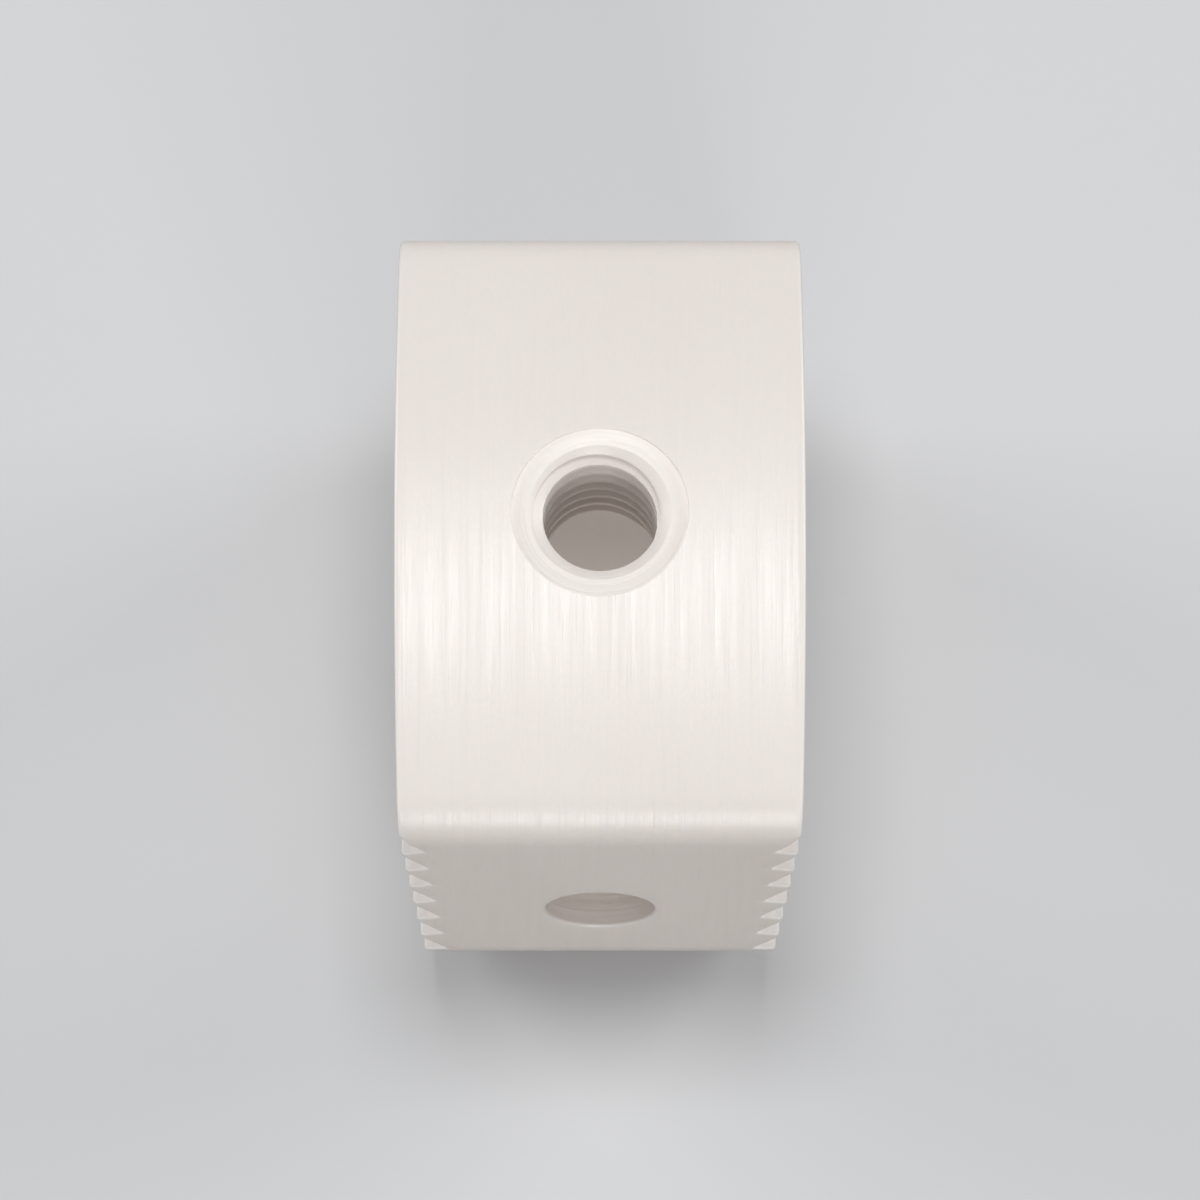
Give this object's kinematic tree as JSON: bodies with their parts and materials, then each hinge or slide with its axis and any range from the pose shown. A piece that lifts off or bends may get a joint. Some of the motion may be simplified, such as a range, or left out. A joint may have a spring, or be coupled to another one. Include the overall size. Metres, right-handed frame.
{
  "type": "spinal interbody cage",
  "caption": "Wedge-shaped cervical interbody fusion cage with ridged bone faces, a central graft window, a tapped inserter hole, side ports and metal marker pins.",
  "frame": {"origin": "middle of the flat posterior face, which the cage stands on as it does in its storage pocket; it is the middle of the bottom of the bounding box", "axes": "+Z is anterior, out of the bowed front face with the inserter hole; +X is superior, towards the upper vertebra; +Y is across the spine, along the cage's width"},
  "size_m": [0.009, 0.014, 0.012],
  "materials": {
    "peek": "off-white natural PEEK, machined to a fine satin",
    "tantalum": "dull grey turned tantalum"
  },
  "bodies": {
    "root": {"cage_body": "peek", "marker_pin_left": "tantalum", "marker_pin_right": "tantalum", "marker_pin_back": "tantalum"}
  },
  "joints": []
}
